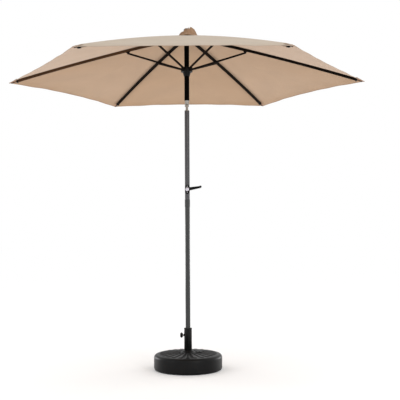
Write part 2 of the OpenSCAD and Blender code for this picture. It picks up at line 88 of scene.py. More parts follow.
class Surface(Enum):
    """What a finish's fine relief looks like."""

    MOULDED = "moulded grain"
    COATED = "powder coat"
    CAST = "cast skin"
    TURNED = "turned metal"


# ---------- shader groups ----------


def new_group(
    name: str, inputs: dict[str, float], outputs: Sequence[str]
) -> bpy.types.ShaderNodeTree:
    """Make a shader node group with number inputs and number outputs.

    Args:
        name: The group's name.
        inputs: Default value of each input by name.
        outputs: Names of the outputs.

    Returns:
        The empty group, with its input and output nodes.
    """
    tree = bpy.data.node_groups.new(name, "ShaderNodeTree")
    for key, value in inputs.items():
        socket = tree.interface.new_socket(key, in_out="INPUT", socket_type="NodeSocketFloat")
        socket.default_value = value
    for key in outputs:
        tree.interface.new_socket(key, in_out="OUTPUT", socket_type="NodeSocketFloat")
    tree.nodes.new("NodeGroupInput").name = "In"
    tree.nodes.new("NodeGroupOutput").name = "Out"
    return tree


def math_node(tree: bpy.types.NodeTree, kind: str, a: object, b: object = 0.0) -> bpy.types.NodeSocket:
    """Add a Math node whose two inputs are sockets or numbers.

    Args:
        tree: The tree that takes the node.
        kind: The operation, such as MULTIPLY.
        a: First socket or number.
        b: Second socket or number.

    Returns:
        The node's output socket.
    """
    node = tree.nodes.new("ShaderNodeMath")
    node.operation = kind
    for socket, value in zip(node.inputs, (a, b)):
        if isinstance(value, (int, float)):
            socket.default_value = value
        else:
            tree.links.new(value, socket)
    return node.outputs[0]


def noise_node(
    tree: bpy.types.NodeTree, vector: bpy.types.NodeSocket, scale: object, detail: float = 3.0
) -> bpy.types.NodeSocket:
    """Add a Noise Texture on a vector.

    Args:
        tree: The tree that takes the node.
        vector: The coordinates.
        scale: A number, or a socket that gives it.
        detail: Octaves of detail.

    Returns:
        The noise value's socket, from 0 to 1.
    """
    node = tree.nodes.new("ShaderNodeTexNoise")
    node.inputs["Detail"].default_value = detail
    tree.links.new(vector, node.inputs["Vector"])
    if isinstance(scale, (int, float)):
        node.inputs["Scale"].default_value = scale
    else:
        tree.links.new(scale, node.inputs["Scale"])
    return node.outputs["Fac"]


def object_coordinates(tree: bpy.types.NodeTree) -> bpy.types.NodeSocket:
    """Add Object coordinates, which are metres in the frame."""
    return tree.nodes.new("ShaderNodeTexCoord").outputs["Object"]


def grain_group() -> bpy.types.ShaderNodeTree:
    """Fine relief and slow tone changes, for moulded, coated and cast surfaces."""
    tree = new_group("Surface grain", {"Scale": 900.0, "Cloud": 9.0}, ("Height", "Tone"))
    give, take = tree.nodes["In"].outputs, tree.nodes["Out"].inputs
    where = object_coordinates(tree)
    fine = noise_node(tree, where, give["Scale"], 2.0)
    coarse = noise_node(tree, where, math_node(tree, "MULTIPLY", give["Scale"], 0.22), 2.0)
    fine_share = math_node(tree, "MULTIPLY", fine, 0.6)
    height = math_node(tree, "ADD", fine_share, math_node(tree, "MULTIPLY", coarse, 0.4))
    tree.links.new(height, take["Height"])
    tree.links.new(noise_node(tree, where, give["Cloud"], 4.0), take["Tone"])
    return tree


def dust_group() -> bpy.types.ShaderNodeTree:
    """Mask of fine dust that settles on faces that look up."""
    tree = new_group("Settled dust", {"Amount": 0.3}, ("Mask",))
    give, take = tree.nodes["In"].outputs, tree.nodes["Out"].inputs
    geometry = tree.nodes.new("ShaderNodeNewGeometry")
    split = tree.nodes.new("ShaderNodeSeparateXYZ")
    tree.links.new(geometry.outputs["Normal"], split.inputs[0])
    up = math_node(tree, "MAXIMUM", split.outputs["Z"], 0.0)
    patch = noise_node(tree, object_coordinates(tree), 38.0, 5.0)
    mask = math_node(tree, "MULTIPLY", math_node(tree, "MULTIPLY", up, patch), give["Amount"])
    tree.links.new(mask, take["Mask"])
    return tree


def weave_group() -> bpy.types.ShaderNodeTree:
    """Plain weave on the piece's own cloth UV map, which is in metres."""
    tree = new_group("Plain weave", {"Threads": 1400.0}, ("Height", "Tone", "Slub"))
    give, take = tree.nodes["In"].outputs, tree.nodes["Out"].inputs
    uv = tree.nodes.new("ShaderNodeUVMap")
    uv.uv_map = "cloth"
    split = tree.nodes.new("ShaderNodeSeparateXYZ")
    tree.links.new(uv.outputs["UV"], split.inputs[0])
    waves = []
    for axis in ("X", "Y"):
        turns = math_node(tree, "MULTIPLY", split.outputs[axis], give["Threads"])
        waves.append(math_node(tree, "SINE", turns))
    height = math_node(tree, "MULTIPLY", waves[0], waves[1])
    tree.links.new(height, take["Height"])
    tree.links.new(noise_node(tree, uv.outputs["UV"], 4.0, 5.0), take["Tone"])
    stretch = tree.nodes.new("ShaderNodeMapping")
    stretch.inputs["Scale"].default_value = (14.0, 420.0, 1.0)
    tree.links.new(uv.outputs["UV"], stretch.inputs["Vector"])
    tree.links.new(noise_node(tree, stretch.outputs[0], 1.0, 2.0), take["Slub"])
    return tree


@dataclass
class ShaderLibrary:
    """The node groups that the finishes share."""

    groups: dict[str, bpy.types.ShaderNodeTree] = field(default_factory=dict)

    def build(self) -> None:
        """Build each group once."""
        self.groups = {"grain": grain_group(), "dust": dust_group(), "weave": weave_group()}

    def place(self, tree: bpy.types.NodeTree, key: str, **values: float) -> bpy.types.ShaderNodeGroup:
        """Place a group in a material.

        Args:
            tree: The material's node tree.
            key: Which group.
            **values: Values of its inputs, by name.

        Returns:
            The group node.
        """
        node = tree.nodes.new("ShaderNodeGroup")
        node.node_tree = self.groups[key]
        for name, value in values.items():
            node.inputs[name].default_value = value
        return node


LIBRARY = ShaderLibrary()


def ramp(
    tree: bpy.types.NodeTree, fac: bpy.types.NodeSocket, low: Colour, high: Colour, span: tuple[float, float]
) -> bpy.types.NodeSocket:
    """Add a colour ramp between two colours.

    Args:
        tree: The material's node tree.
        fac: The number that picks the colour.
        low: Colour at the span's start.
        high: Colour at the span's end.
        span: The two positions, from 0 to 1.

    Returns:
        The colour socket.
    """
    node = tree.nodes.new("ShaderNodeValToRGB")
    for element, place, colour in zip(node.color_ramp.elements, span, (low, high)):
        element.position = place
        element.color = (*colour, 1.0)
    tree.links.new(fac, node.inputs["Fac"])
    return node.outputs["Color"]


def blend_colours(
    tree: bpy.types.NodeTree, fac: bpy.types.NodeSocket, a: bpy.types.NodeSocket, b: Colour
) -> bpy.types.NodeSocket:
    """Mix a colour socket towards a plain colour by a mask."""
    node = tree.nodes.new("ShaderNodeMix")
    node.data_type = "RGBA"
    tree.links.new(fac, node.inputs["Factor"])
    tree.links.new(a, node.inputs["A"])
    node.inputs["B"].default_value = (*b, 1.0)
    return node.outputs["Result"]


def tinted(colour: Colour, gain: float) -> Colour:
    """Return a colour times a gain, held below 1."""
    return tuple(min(1.0, channel * gain) for channel in colour)


def blank_material(name: str) -> tuple[bpy.types.Material, bpy.types.NodeTree, bpy.types.Node]:
    """Start a node material, and return it with its tree and its shader."""
    material = bpy.data.materials.new(name)
    material.use_nodes = True
    return material, material.node_tree, material.node_tree.nodes["Principled BSDF"]


def add_relief(tree: bpy.types.NodeTree, height: bpy.types.NodeSocket, strength: float, depth: float) -> None:
    """Feed the shader's normal from a height, through a Bump node of that strength and depth in metres."""
    bump = tree.nodes.new("ShaderNodeBump")
    bump.inputs["Strength"].default_value = strength
    bump.inputs["Distance"].default_value = depth
    tree.links.new(height, bump.inputs["Height"])
    tree.links.new(bump.outputs["Normal"], tree.nodes["Principled BSDF"].inputs["Normal"])


# ---------- finishes ----------

DUST_COLOUR = (0.30, 0.29, 0.26)
GRAIN_DEPTH = 0.0004
WEAVE_DEPTH = 0.0002
TONE_SPAN = (0.3, 0.7)
CLOUD_SCALE = {Surface.MOULDED: 12.0, Surface.COATED: 7.0, Surface.CAST: 55.0, Surface.TURNED: 90.0}


@dataclass(frozen=True)
class Finish:
    """A hard finish: colour, gloss, fine relief and settled dust."""

    name: str
    colour: Colour
    roughness: float
    metallic: float = 0.0
    surface: Surface = Surface.MOULDED
    relief: float = 0.12
    scale: float = 900.0
    tone: float = 0.18
    dust: float = 0.0
    coat: float = 0.0
    specular: float = 0.5

    def build(self) -> bpy.types.Material:
        """Build the material.

        Returns:
            A node material on Object coordinates.
        """
        material, tree, shader = blank_material(self.name)
        grain = LIBRARY.place(tree, "grain", Scale=self.scale, Cloud=self.cloud_scale())
        low, high = tinted(self.colour, 1 - self.tone), tinted(self.colour, 1 + self.tone)
        colour = ramp(tree, grain.outputs["Tone"], low, high, TONE_SPAN)
        if self.dust > 0:
            dust = LIBRARY.place(tree, "dust", Amount=self.dust)
            colour = blend_colours(tree, dust.outputs["Mask"], colour, DUST_COLOUR)
        tree.links.new(colour, shader.inputs["Base Color"])
        spread = math_node(tree, "MULTIPLY", grain.outputs["Tone"], 0.16)
        tree.links.new(math_node(tree, "ADD", spread, self.roughness - 0.08), shader.inputs["Roughness"])
        add_relief(tree, grain.outputs["Height"], self.relief, GRAIN_DEPTH)
        shader.inputs["Metallic"].default_value = self.metallic
        shader.inputs["Coat Weight"].default_value = self.coat
        shader.inputs["Coat Roughness"].default_value = 0.12
        shader.inputs["Specular IOR Level"].default_value = self.specular
        return material

    def cloud_scale(self) -> float:
        """Return the scale of slow tone changes for this kind of surface."""
        return CLOUD_SCALE[self.surface]


@dataclass(frozen=True)
class Cloth:
    """Woven polyester, with threads, slubs and a slow change of shade."""

    name: str
    colour: Colour
    shade: float = 0.07
    relief: float = 0.35
    threads: float = 1400.0
    roughness: float = 0.86
    sheen: float = 0.25

    def build(self) -> bpy.types.Material:
        """Build the material.

        Returns:
            A node material that follows the cloth UV map.
        """
        material, tree, shader = blank_material(self.name)
        weave = LIBRARY.place(tree, "weave", Threads=self.threads)
        slow = math_node(tree, "MULTIPLY", weave.outputs["Tone"], 0.7)
        tone = math_node(tree, "ADD", slow, math_node(tree, "MULTIPLY", weave.outputs["Slub"], 0.3))
        low, high = tinted(self.colour, 1 - self.shade), tinted(self.colour, 1 + self.shade)
        colour = ramp(tree, tone, low, high, TONE_SPAN)
        tree.links.new(colour, shader.inputs["Base Color"])
        spread = math_node(tree, "MULTIPLY", weave.outputs["Slub"], 0.1)
        tree.links.new(math_node(tree, "ADD", spread, self.roughness - 0.05), shader.inputs["Roughness"])
        add_relief(tree, weave.outputs["Height"], self.relief, WEAVE_DEPTH)
        shader.inputs["Sheen Weight"].default_value = self.sheen
        shader.inputs["Sheen Roughness"].default_value = 0.5
        shader.inputs["Specular IOR Level"].default_value = 0.2
        return material


def coated(name: str, colour: Colour, roughness: float, relief: float, **rest: float) -> Finish:
    """Return a powder coat's finish."""
    return Finish(name, colour, roughness, surface=Surface.COATED, relief=relief, **{"scale": 1100.0, **rest})


def plated(name: str, colour: Colour, roughness: float, relief: float, **rest: float) -> Finish:
    """Return a turned or plated metal's finish."""
    return Finish(name, colour, roughness, surface=Surface.TURNED, relief=relief, **{"scale": 2200.0, **rest})


TANK_PLASTIC = Finish(
    "Blow-moulded black plastic",
    (0.0030, 0.0030, 0.0032),
    0.42,
    relief=0.35,
    scale=420.0,
    dust=0.02,
    specular=0.15,
)
BLACK_PLASTIC = Finish(
    "Moulded black plastic", (0.0035, 0.0035, 0.0036), 0.42, relief=0.15, scale=1500.0, specular=0.1
)
KNOB_PLASTIC = Finish(
    "Satin knob plastic", (0.003, 0.003, 0.003), 0.36, relief=0.1, scale=1800.0, specular=0.12
)
BLACK_STEEL = coated(
    "Gloss black powder coat", (0.005, 0.005, 0.0048), 0.26, 0.06, scale=700.0, coat=0.25, specular=0.12
)
GREY_STEEL = coated(
    "Dark grey powder coat", (0.036, 0.0375, 0.0375), 0.36, 0.08, tone=0.06, coat=0.12, specular=0.2
)
MID_STEEL = coated("Grey powder coat", (0.047, 0.0465, 0.0505), 0.32, 0.08, tone=0.06, coat=0.2, specular=0.3)
POLE_STEEL = coated("Near-black pole coat", (0.0010, 0.0009, 0.0008), 0.36, 0.06, specular=0.02)
RIB_STEEL = coated("Near-black rib coat", (0.0055, 0.0036, 0.0026), 0.4, 0.1, specular=0.08)
# Painted light: rib 4 is the same near-black rib steel as the others, coloured brown and lighter to paint the
# light that falls on that one rib.
RIB_PAINTED_LIGHT = coated("Rib coat with painted light", (0.070, 0.034, 0.0155), 0.42, 0.1, tone=0.25, specular=0.15)
ALLOY = Finish(
    "Cast aluminium",
    (0.36, 0.345, 0.32),
    0.42,
    metallic=0.6,
    surface=Surface.CAST,
    relief=0.5,
    scale=1300.0,
    tone=0.12,
)
ZINC = plated("Zinc plated steel", (0.42, 0.42, 0.41), 0.32, 0.2, metallic=1.0)
BLACKED_STEEL = plated("Blacked steel", (0.012, 0.012, 0.012), 0.4, 0.1, metallic=0.6)
SILVER_CAP = plated(
    "Silver finish cap", (0.56, 0.54, 0.60), 0.3, 0.06, metallic=0.2, scale=1800.0, tone=0.06, coat=0.2
)
FINIAL_GLOSS = Finish(
    "Gloss finial plastic", (0.004, 0.005, 0.009), 0.18, relief=0.04, scale=600.0, coat=0.4, specular=0.3
)
NYLON = Finish("White nylon", (0.72, 0.71, 0.67), 0.45, relief=0.1)
RUBBER = Finish("Seal rubber", (0.015, 0.015, 0.015), 0.7, relief=0.3, specular=0.2)
BRASS = plated("Plain brass", (0.60, 0.42, 0.16), 0.34, 0.2, metallic=1.0)
OUTER_CLOTH = Cloth("Tan canopy cloth, outer side", (0.455, 0.355, 0.250))
# Painted shade: the inner side is the same cloth as the outer side, coloured darker and oranger to paint the
# shade under the canopy and the light showing through the cloth; the inner hem is darker again.
INNER_CLOTH_PAINTED_SHADE = Cloth("Tan canopy cloth, inner side with painted shade", (0.366, 0.229, 0.130))
OUTER_HEM = Cloth("Tan hem cloth, outer side", (0.43, 0.345, 0.27), relief=0.6)
INNER_HEM_PAINTED_SHADE = Cloth("Tan hem cloth, inner side with painted shade", (0.30, 0.185, 0.108), relief=0.6)
POCKET_CLOTH = Cloth("Corner pocket cloth", (0.36, 0.20, 0.125), relief=0.6)
# Painted shade: the vent cap's cloth is coloured darker than the canopy cloth, and its wide tone spread
# (shade 0.45) paints the light and shadow of its folds.
VENT_CLOTH_PAINTED_SHADE = Cloth("Vent cap cloth with painted fold shade", (0.32, 0.185, 0.10), shade=0.45, relief=0.5)


@dataclass
class Wardrobe:
    """Makes each finish once and hands it out."""

    made: dict[str, bpy.types.Material] = field(default_factory=dict)

    def material(self, finish: Finish | Cloth) -> bpy.types.Material:
        """Return a finish's material, built the first time it is asked for."""
        if finish.name not in self.made:
            self.made[finish.name] = finish.build()
        return self.made[finish.name]

    def dress(self, piece: bpy.types.Object, *finishes: Finish | Cloth) -> None:
        """Give a piece its finishes, one for each material slot, and keep each face's slot."""
        chosen = [face.material_index for face in piece.data.polygons]
        piece.data.materials.clear()
        for finish in finishes:
            piece.data.materials.append(self.material(finish))
        last = len(finishes) - 1
        piece.data.polygons.foreach_set("material_index", [min(i, last) for i in chosen])


WARDROBE = Wardrobe()


# ---------- modelling ------------------


def deselect() -> None:
    """Leave object mode's selection empty."""
    if bpy.context.mode != "OBJECT":
        bpy.ops.object.mode_set(mode="OBJECT")
    bpy.ops.object.select_all(action="DESELECT")


def activate(piece: bpy.types.Object) -> None:
    """Select one piece alone and make it active."""
    deselect()
    piece.select_set(True)
    bpy.context.view_layer.objects.active = piece


def select_faces(piece: bpy.types.Object, wanted: Callable[[bmesh.types.BMFace], bool]) -> None:
    """Select, in edit mode, the faces that a test picks.

    Args:
        piece: The piece in edit mode.
        wanted: The test on a face.
    """
    mesh = bmesh.from_edit_mesh(piece.data)
    for face in mesh.faces:
        face.select = bool(wanted(face))
    mesh.select_flush(True)
    mesh.select_flush(False)
    bmesh.update_edit_mesh(piece.data)


def apply_place(piece: bpy.types.Object, place: Matrix) -> None:
    """Put a piece's place into its mesh and leave its object at the origin."""
    piece.data.transform(place @ piece.matrix_basis)
    piece.matrix_basis = Matrix.Identity(4)
    piece.data.update()


def smooth(piece: bpy.types.Object, angle: float = SMOOTH_ANGLE) -> None:
    """Shade a piece smooth, with crisp edges above an angle."""
    activate(piece)
    bpy.ops.object.shade_smooth_by_angle(angle=angle)


def bevel(piece: bpy.types.Object, width: float, segments: int = 2, angle: float = 30.0) -> None:
    """Round a piece's sharp edges with an applied Bevel modifier.

    Args:
        piece: The piece.
        width: Width of the rounding in metres.
        segments: Faces across the rounding.
        angle: Edges sharper than this many degrees are rounded.
    """
    activate(piece)
    modifier = piece.modifiers.new("Edge rounding", "BEVEL")
    modifier.width = width
    modifier.segments = segments
    modifier.limit_method = "ANGLE"
    modifier.angle_limit = math.radians(angle)
    modifier.use_clamp_overlap = True
    bpy.ops.object.modifier_apply(modifier=modifier.name)


def face_outwards(piece: bpy.types.Object) -> None:
    """Turn a piece's faces outwards, and leave it in object mode."""
    activate(piece)
    bpy.ops.object.mode_set(mode="EDIT")
    bpy.ops.mesh.select_all(action="SELECT")
    bpy.ops.mesh.normals_make_consistent(inside=False)
    bpy.ops.object.mode_set(mode="OBJECT")


def turned(
    name: str, rings: Sequence[tuple[float, float]], place: Matrix, sides: int = 64
) -> bpy.types.Object:
    """Turn a solid on its own axis: a disc is extruded and resized ring by ring.

    Args:
        name: The piece's name.
        rings: Radius and height of each ring along the axis, in metres, from one end to the other.
        place: Where the axis stands in the frame.
        sides: Faces round the axis.

    Returns:
        The piece, closed at both ends.
    """
    deselect()
    radius, height = rings[0]
    bpy.ops.mesh.primitive_circle_add(
        vertices=sides, radius=radius, fill_type="NGON", location=(0, 0, height)
    )
    piece = bpy.context.object
    piece.name = piece.data.name = name
    bpy.ops.object.transform_apply(location=True)
    bpy.ops.object.mode_set(mode="EDIT")
    for ring_radius, ring_height in rings[1:]:
        bpy.ops.mesh.extrude_region_move(TRANSFORM_OT_translate={"value": (0, 0, ring_height - height)})
        share = ring_radius / radius
        bpy.ops.transform.resize(value=(share, share, 1))
        radius, height = ring_radius, ring_height
    bpy.ops.object.mode_set(mode="OBJECT")
    face_outwards(piece)
    apply_place(piece, place)
    return piece


def eased_copy(node: str, name: str, width: float, segments: int = 2) -> bpy.types.Object:
    """Copy a CAD node, merge its loose triangles, and round its edges.

    Args:
        node: The CAD node.
        name: The new piece's name.
        width: Width of the rounding in metres.
        segments: Faces across the rounding.

    Returns:
        The rounded copy, which rides on nothing yet.
    """
    source = bpy.data.objects[node]
    piece = bpy.data.objects.new(name, source.data.copy())
    bpy.context.scene.collection.objects.link(piece)
    activate(piece)
    bpy.ops.object.mode_set(mode="EDIT")
    bpy.ops.mesh.select_all(action="SELECT")
    bpy.ops.mesh.remove_doubles(threshold=1e-6)
    bpy.ops.mesh.dissolve_limited(angle_limit=math.radians(0.5))
    bpy.ops.object.mode_set(mode="OBJECT")
    bevel(piece, width, segments)
    smooth(piece)
    return piece


def join(pieces: Iterable[bpy.types.Object], name: str) -> bpy.types.Object:
    """Join several meshes into one piece."""
    parts = list(pieces)
    deselect()
    for part in parts:
        part.select_set(True)
    bpy.context.view_layer.objects.active = parts[0]
    bpy.ops.object.join()
    whole = bpy.context.object
    whole.name = whole.data.name = name
    return whole


def settle(
    piece: bpy.types.Object, body: str, nodes: Sequence[str], slot: str, *finishes: Finish | Cloth
) -> bpy.types.Object:
    """Dress a piece, hang it on its body and hide the CAD nodes that it stands for.

    Args:
        piece: The finished piece.
        body: The CAD body that it rides on.
        nodes: CAD nodes that it stands for.
        slot: Not used.
        *finishes: Its finishes.

    Returns:
        The piece.
    """
    WARDROBE.dress(piece, *finishes)
    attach(piece, body)
    if nodes:
        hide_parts(*nodes)
    log.info("%s rides on %s: %d faces", piece.name, body, len(piece.data.polygons))
    return piece


def middle(node: str) -> Vector:
    """Return the middle of a CAD node's box at rest."""
    low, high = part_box(node)
    return (Vector(low) + Vector(high)) / 2


def lofted(name: str, rows: Sequence[Sequence[Vector]], loop: bool = False) -> bpy.types.Object:
    """Make a sheet from rows of points, with a cloth UV map in metres.

    Args:
        name: The piece's name.
        rows: Points row by row; each row has as many.
        loop: Whether each row closes on itself.

    Returns:
        The sheet as a single-sided mesh.
    """
    mesh = bmesh.new()
    uv = mesh.loops.layers.uv.new("cloth")
    verts = [[mesh.verts.new(point) for point in row] for row in rows]
    down = [0.0]
    for above, below in zip(rows, rows[1:]):
        down.append(down[-1] + (below[0] - above[0]).length)
    across = []
    for row in rows:
        walk = [0.0]
        for left, right in zip(row, row[1:]):
            walk.append(walk[-1] + (right - left).length)
        if loop:
            walk.append(walk[-1] + (row[0] - row[-1]).length)
        across.append([value - walk[-1] / 2 for value in walk])
    count = len(rows[0])
    for i in range(len(rows) - 1):
        for j in range(count if loop else count - 1):
            corners = ((i, j), (i + 1, j), (i + 1, j + 1), (i, j + 1))
            face = mesh.faces.new([verts[a][b % count] for a, b in corners])
            for corner, (a, b) in zip(face.loops, corners):
                corner[uv].uv = (down[a], across[a][b])
    data = bpy.data.meshes.new(name)
    mesh.to_mesh(data)
    mesh.free()
    piece = bpy.data.objects.new(name, data)
    bpy.context.scene.collection.objects.link(piece)
    return piece


def thicken(piece: bpy.types.Object, thickness: float, offset: float = 0.0) -> None:
    """Give a sheet its thickness with an applied Solidify modifier."""
    activate(piece)
    modifier = piece.modifiers.new("Cloth thickness", "SOLIDIFY")
    modifier.thickness = thickness
    modifier.offset = offset
    bpy.ops.object.modifier_apply(modifier=modifier.name)
    smooth(piece, math.radians(60))


# ---------- canopy ----------


@dataclass
class Canopy:
    """The sewn cover as six sheets, one centred on each rib and meeting at the panels' middles."""

    corner_r: float = 1.280
    vent_r: float = 0.062
    scallop: float = 0.035
    edge_sag: float = 0.006
    rib_end_r: float = 1.212
    thickness: float = 0.0010
    hem_width: float = 0.011
    hem_lift: float = 0.0005
    seam_half: float = 0.006
    sag: float = 0.007
    rows: int = 64
    columns: int = 22
    fold_keep: float = 0.125
    slope: float = 1.03
    profile: np.ndarray = field(default_factory=lambda: np.zeros(1))
    corner_z: float = 0.0

    def measure(self) -> None:
        """Read the cloth's height along a rib from the CAD panel on rib 1."""
        panel = bpy.data.objects["canopy_panel_1"].data
        points = [v.co for v in panel.vertices if abs(v.co.y) < 1e-4]
        heights: dict[float, list[float]] = {}
        for point in points:
            heights.setdefault(round(point.x, 3), []).append(point.z)
        places = sorted(heights)
        levels = [sum(heights[x]) / len(heights[x]) for x in places]
        self.vent_r, self.corner_r = places[0], places[-1]
        self.rib_end_r = places[-2]
        self.profile = np.polyfit(places[:-1], levels[:-1], 2)
        self.corner_z = levels[-1]

    def height(self, r: float) -> float:
        """Return the cloth's height over a rib at radius r."""
        if r <= self.rib_end_r:
            return float(np.polyval(self.profile, r))
        share = (r - self.rib_end_r) / (self.corner_r - self.rib_end_r)
        start = float(np.polyval(self.profile, self.rib_end_r))
        return start + (self.corner_z - start) * share

    def hem_r(self, s: float) -> float:
        """Return where the hem lies, in rib distance, at share s from rib to split line."""
        return self.corner_r - self.scallop / math.cos(HALF) * (1 - (1 - s) ** 2)

    def point(self, r: float, s: float, side: int) -> Vector:
        """Return a point of the cloth in rib 1's frame.

        Args:
            r: Rib distance of the row.
            s: Share from the rib, 0, to the split line, 1.
            side: -1 or 1 for the two sides of the rib.

        Returns:
            The point in metres.
        """
        hem = self.hem_r(s)
        x = r * (1 - s * math.sin(HALF) ** 2)
        y = r * s * math.sin(HALF) * math.cos(HALF)
        along = (r - self.vent_r) / (hem - self.vent_r)
        slack = self.sag * (1 - (1 - s) ** 2) * math.sin(math.pi * min(1.0, along) ** 1.4) ** 2
        pucker = 0.0011 * math.sin(r * 95 + side * 1.3) * math.exp(-y / 0.02) * min(1.0, r / 0.3)
        pull = 0.0014 * math.sin(s * 17 + side) * math.exp(-(hem - r) / 0.09)
        gather = 0.0016 * math.sin(s * 23 + 0.8 * side) * math.exp(-(r - self.vent_r) / 0.10)
        still = math.sin(math.pi * s)
        ripple = noise.noise(Vector((x * 4.1, side * y * 4.1, 3.7))) * 0.0022 * still
        seam = 0.0006 if y < self.seam_half else 0.0
        lift = self.hem_lift if hem - r < self.hem_width else 0.0
        out = (r - self.vent_r) / (self.corner_r - self.vent_r)
        droop = self.edge_sag * (1 - (1 - s) ** 2) * out**2
        z = self.height(r) - slack - droop + (pucker + pull + gather) * still + ripple + seam + lift
        return Vector((x, side * y, z))

    def shares(self) -> list[float]:
        """Return the column places from the rib outwards, closer together at the seam."""
        even = [j / self.columns for j in range(self.columns + 1)]
        return [0.25 * s + 0.75 * s * s if s < 1 else 1.0 for s in even]

    def radii(self, s: float) -> list[float]:
        """Return the row places at share s, with extra rows at the hem."""
        hem = self.hem_r(s)
        reach = hem - self.hem_width - self.vent_r
        body = [self.vent_r + reach * i / self.rows for i in range(self.rows + 1)]
        return [*body, hem - self.hem_width * 0.97, hem - self.hem_width * 0.5, hem]

    def sheet(self, k: int) -> bpy.types.Object:
        """Make the sheet of rib k.

        Args:
            k: The rib's number, from 1.

        Returns:
            The finished sheet in the frame.
        """
        turn = Matrix.Rotation(STEP * (k - 1), 4, "Z")
        columns = []
        shares = self.shares()
        for side, s in [(-1, s) for s in reversed(shares[1:])] + [(1, s) for s in shares]:
            columns.append([turn @ self.point(r, s, side) for r in self.radii(s)])
        rows = [list(row) for row in zip(*columns)]
        piece = lofted(f"canopy_sheet_{k}", rows)
        hem_start = self.rows * (len(columns) - 1)
        for face in piece.data.polygons[hem_start:]:
            face.material_index = 1
        thicken(piece, self.thickness)
        # Faces that look down take the inner cloths, which carry painted shade.
        for face in piece.data.polygons:
            if face.normal.z < 0:
                face.material_index += 2
        return piece

    def pocket(self, k: int) -> bpy.types.Object:
        """Make the sewn corner pocket that holds rib k's tip.

        Args:
            k: The rib's number, from 1.

        Returns:
            The pocket, open towards the rib and closed at the corner.
        """
        turn = Matrix.Rotation(STEP * (k - 1), 4, "Z")
        start, end = self.rib_end_r + 0.004, self.corner_r - 0.003
        rows = []
        for i in range(17):
            share = i / 16
            r = start + (end - start) * share
            half = 0.030 * (1 - share) + 0.003
            deep = 0.0125 * (1 - share) ** 0.8 + 0.0010
            row = []
            for j in range(25):
                across = 2 * j / 24 - 1
                bulge = math.exp(-((across * half / 0.0075) ** 2))
                wrinkle = 0.0006 * math.sin(j * 1.9 + i * 0.7) * (1 - across * across)
                z = self.height(r) - 0.0011 - deep * bulge + wrinkle
                row.append(turn @ Vector((r, half * across, z)))
            rows.append(row)
        piece = lofted(f"corner_pocket_{k}", rows)
        thicken(piece, 0.0008)
        return piece

    def build(self) -> None:
        """Make all six sheets and their corner pockets."""
        self.measure()
        for k in range(1, RIBS + 1):
            sheet = self.sheet(k)
            # The inner cloths carry painted shade.
            cloths = (OUTER_CLOTH, OUTER_HEM, INNER_CLOTH_PAINTED_SHADE, INNER_HEM_PAINTED_SHADE)
            settle(sheet, f"rib_{k}", [f"canopy_panel_{k}"], "canopy_cloth", *cloths)
            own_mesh(sheet)
            pocket = settle(self.pocket(k), f"rib_{k}", [], "canopy_cloth", POCKET_CLOTH)


@dataclass
class VentCap:
    """Small crumpled cloth cap, gathered under the finial and raised on one side, over the vent."""

    collar_r: float = 0.0158
    finial_r: float = 0.0250
    rim_r: float = 0.068
    rim_reach: float = 0.028
    low: float = 0.009
    rise: float = 0.036
    rim_drop: float = 0.0115
    slope: float = 0.27
    thickness: float = 0.0012
    rings: int = 44
    sides: int = 240
    pleats: int = 7

    def profile(self, share: float, angle: float) -> tuple[float, float]:
        """Return the smooth cap's radius and height above the hub.

        Args:
            share: 0 at the finial and 1 at the rim.
            angle: Bearing round the pole.

        Returns:
            Radius and height in metres.
        """
        bearing = abs((math.degrees(angle) + 18 + 180) % 360 - 180)
        tall = 1 / (1 + (bearing / 98) ** 5)
        reach = 0.5 + 0.5 * math.cos(angle)
        rim = self.rim_r + self.rim_reach * reach**2
        top = self.low + self.rise * tall
        foot = -self.rim_drop - self.slope * (rim - 0.062)
        span = rim - self.finial_r
        knots = [
            (self.collar_r, 0.002),
            (self.finial_r - 0.001, 0.30 * top),
            (self.finial_r + 0.001, 0.80 * top),
            (self.finial_r + 0.14 * span, top),
            (self.finial_r + 0.42 * span, 0.72 * top - 0.001),
            (self.finial_r + 0.75 * span, 0.25 * top + 0.7 * foot),
            (rim, foot),
        ]
        place = share * (len(knots) - 1)
        i = min(len(knots) - 2, int(place))
        t = place - i
        before, after = knots[max(0, i - 1)], knots[min(len(knots) - 1, i + 2)]
        here, there = knots[i], knots[i + 1]
        return tuple(
            0.5 * (2 * b + (c - a) * t + (2 * a - 5 * b + 4 * c - d) * t * t + (3 * b - a - 3 * c + d) * t**3)
            for a, b, c, d in zip(before, here, there, after)
        )

    def point(self, share: float, angle: float, base_z: float) -> Vector:
        """Return a point of the crumpled cap.

        Args:
            share: 0 at the finial and 1 at the rim.
            angle: Bearing round the pole.
            base_z: Height of the hub's top.

        Returns:
            The point in metres.
        """
        r, z = self.profile(share, angle)
        loose = math.sin(math.pi * min(1.0, max(0.0, share - 0.12) * 1.05)) ** 0.7
        wander = angle + 0.35 * math.sin(2 * angle + 5 * share)
        fold = 1 - 2 * abs(math.sin(self.pleats * wander / 2 + 0.8))
        crumple = noise.noise(Vector((math.cos(angle) * 3.1, math.sin(angle) * 3.1, share * 4.3)))
        crease = noise.noise(Vector((math.cos(angle) * 7.0, math.sin(angle) * 7.0, share * 7.0 + 9)))
        held = 0.35 + 0.65 * min(1.0, z / 0.02 + 0.6)
        z += (0.0050 * fold + 0.0075 * crumple + 0.0032 * abs(crease)) * loose * held
        r += (0.0030 * fold + 0.0040 * crease) * loose
        r = max(r, self.finial_r - 0.0005) if share > 0.25 else r
        return Vector((r * math.cos(angle), r * math.sin(angle), base_z + z))

    def build(self) -> None:
        """Make the cap as one gathered sheet."""
        base_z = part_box("top_hub")[1][2]
        rows = [
            [self.point(i / self.rings, math.tau * j / self.sides, base_z) for j in range(self.sides)]
            for i in range(self.rings + 1)
        ]
        piece = lofted("vent_cap_cloth", rows, loop=True)
        face_outwards(piece)
        thicken(piece, self.thickness)
        # The vent cap's cloth carries painted fold shade.
        settle(piece, "upper", ["vent_cap"], "canopy_cloth", VENT_CLOTH_PAINTED_SHADE)


# ---------- base ----------


